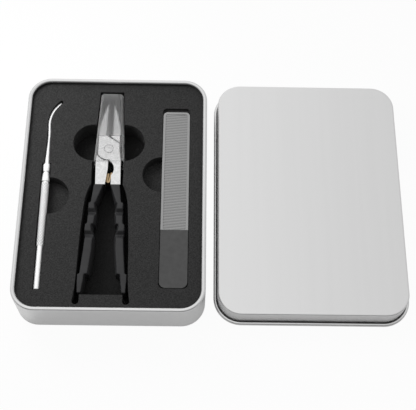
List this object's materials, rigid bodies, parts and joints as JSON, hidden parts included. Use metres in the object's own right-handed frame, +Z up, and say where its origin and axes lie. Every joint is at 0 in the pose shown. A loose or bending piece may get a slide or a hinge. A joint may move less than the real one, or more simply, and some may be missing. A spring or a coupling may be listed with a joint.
{
  "type": "manicure set case",
  "caption": "Slip-lid metal tin with a cut foam tray that holds a sprung nail nipper with its tip cap, a cuticle lifter and a nail file; the lid lies beside it.",
  "frame": {"origin": "centre of the base tin's underside", "axes": "+X to the lid lying beside the tin, +Y to the back, where the tools point, +Z up"},
  "size_m": [0.2283, 0.1566, 0.027],
  "materials": {
    "tinplate": "satin tinplate",
    "foam": "matt closed-cell foam",
    "forged_steel": "polished",
    "spring_bronze": "bare",
    "grip_plastic": "matt",
    "milky_cap": "milky, see-through",
    "turned_steel": "bright",
    "file_steel": "cut teeth"
  },
  "bodies": {
    "base": {"base_tin": "tinplate", "foam_backing": "foam", "foam_insert": "foam"},
    "lid": {"lid": "tinplate"},
    "nipper": {"nipper_upper_half": "forged_steel", "pivot_rivet": "forged_steel", "handle_spring": "spring_bronze", "right_grip": "grip_plastic"},
    "nipper_left": {"nipper_lower_half": "forged_steel", "left_grip": "grip_plastic"},
    "tip_cap": {"tip_cap": "milky_cap"},
    "lifter": {"lifter_handle": "turned_steel", "lifter_tip": "turned_steel"},
    "nail_file": {"nail_file": "file_steel"}
  },
  "joints": [
    {"name": "lid_lift", "type": "slide", "parent": "base", "child": "lid", "axis": [0, 0, 1], "range_m": [0, 0.04]},
    {"name": "nipper_lift", "type": "slide", "parent": "base", "child": "nipper", "axis": [0, 0, 1], "range_m": [0, 0.04]},
    {"name": "nipper_squeeze", "type": "hinge", "parent": "nipper", "child": "nipper_left", "pos_m": [-0.0041, 0.0279, 0.018], "axis": [0, 0, 1], "range_deg": [0, 3.3], "stiffness_Nm_per_rad": 3, "springref_deg": -2.86, "deforming": ["handle_spring"]},
    {"name": "cap_slide", "type": "slide", "parent": "nipper", "child": "tip_cap", "axis": [0, 1, 0], "range_m": [0, 0.0009]},
    {"name": "lifter_lift", "type": "slide", "parent": "base", "child": "lifter", "axis": [0, 0, 1], "range_m": [0, 0.04]},
    {"name": "file_lift", "type": "slide", "parent": "base", "child": "nail_file", "axis": [0, 0, 1], "range_m": [0, 0.04]}
  ]
}
